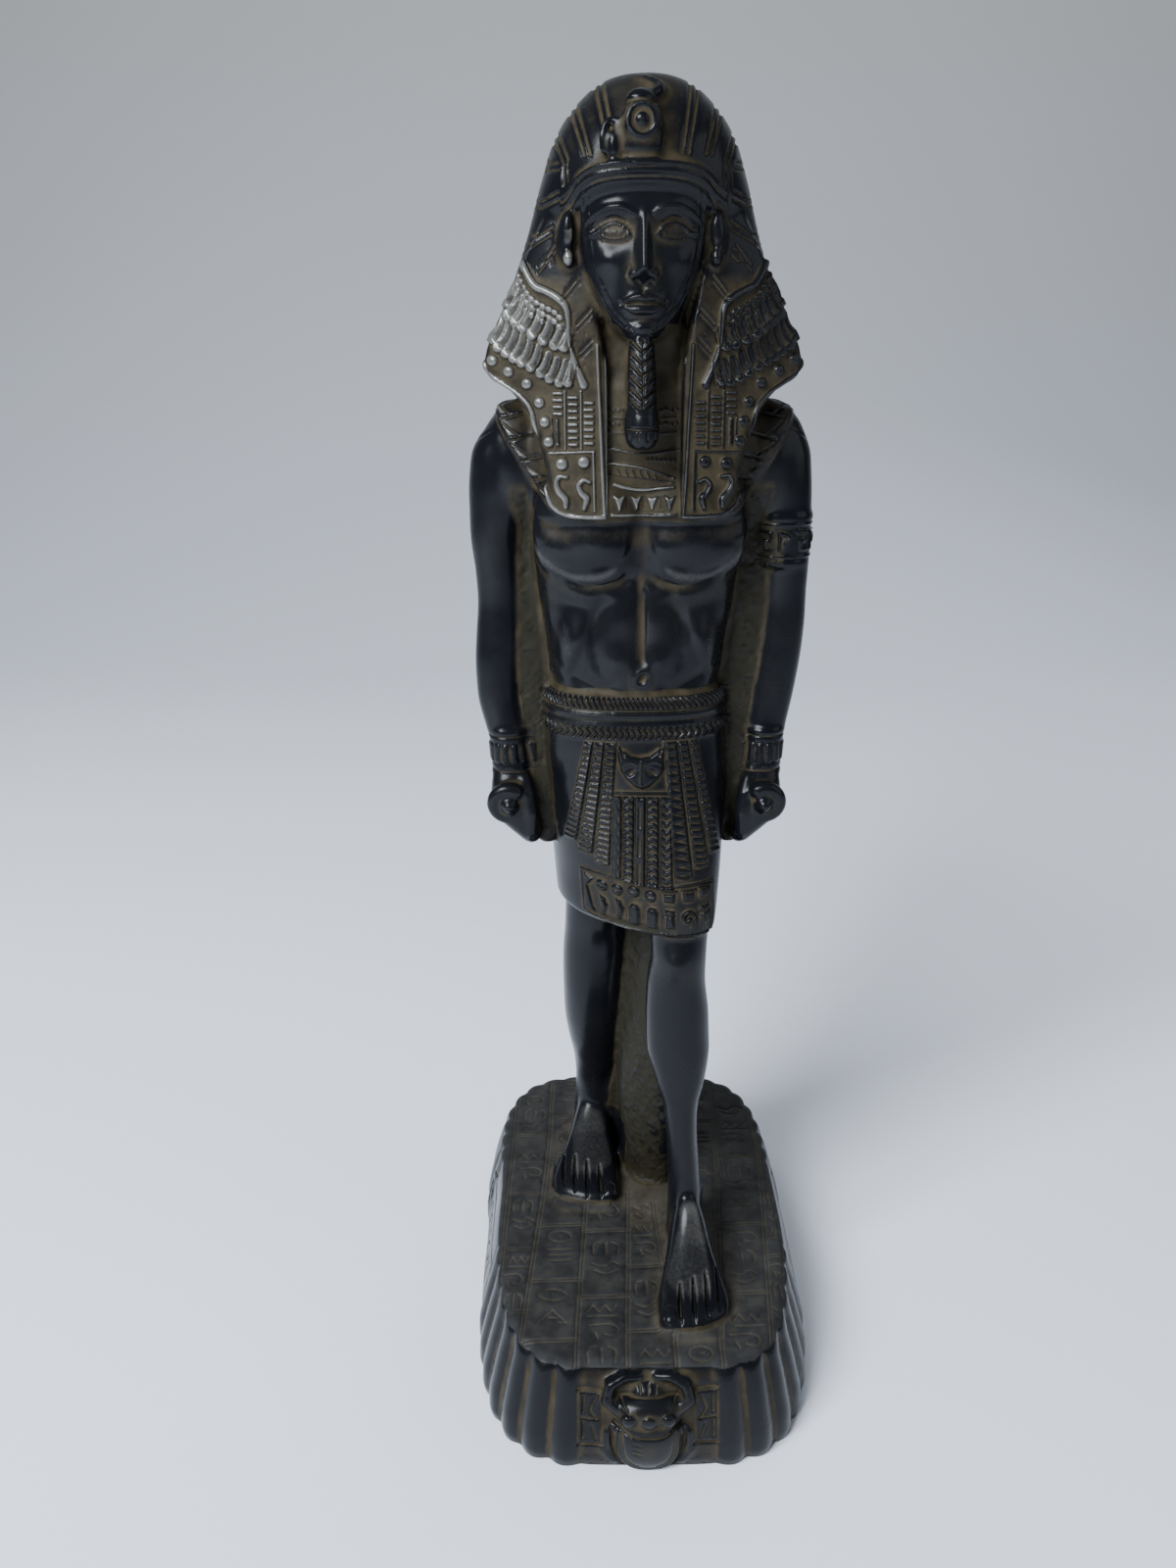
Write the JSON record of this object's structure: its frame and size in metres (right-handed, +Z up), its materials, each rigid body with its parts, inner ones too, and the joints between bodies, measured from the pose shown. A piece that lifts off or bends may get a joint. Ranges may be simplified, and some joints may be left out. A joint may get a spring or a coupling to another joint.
{
  "type": "egyptian pharaoh statue",
  "caption": "Striding Egyptian king statue with a striped head-cloth, braided beard, pleated kilt and arms at the sides, cast in one with its ribbed rounded plinth.",
  "frame": {"origin": "middle of the flat underside of the plinth", "axes": "+Z up from the plinth to the crown; the king faces -Y; +X is to the right as one looks at his face, so his left, advancing leg is on +X"},
  "size_m": [0.1168, 0.173, 0.4002],
  "materials": {
    "black_stone": "polished black cast stone with a soft gloss, ochre-brown patina in the hollows and worn pale edges on the raised carving"
  },
  "bodies": {
    "root": {"pharaoh_statue": "black_stone"}
  },
  "joints": []
}
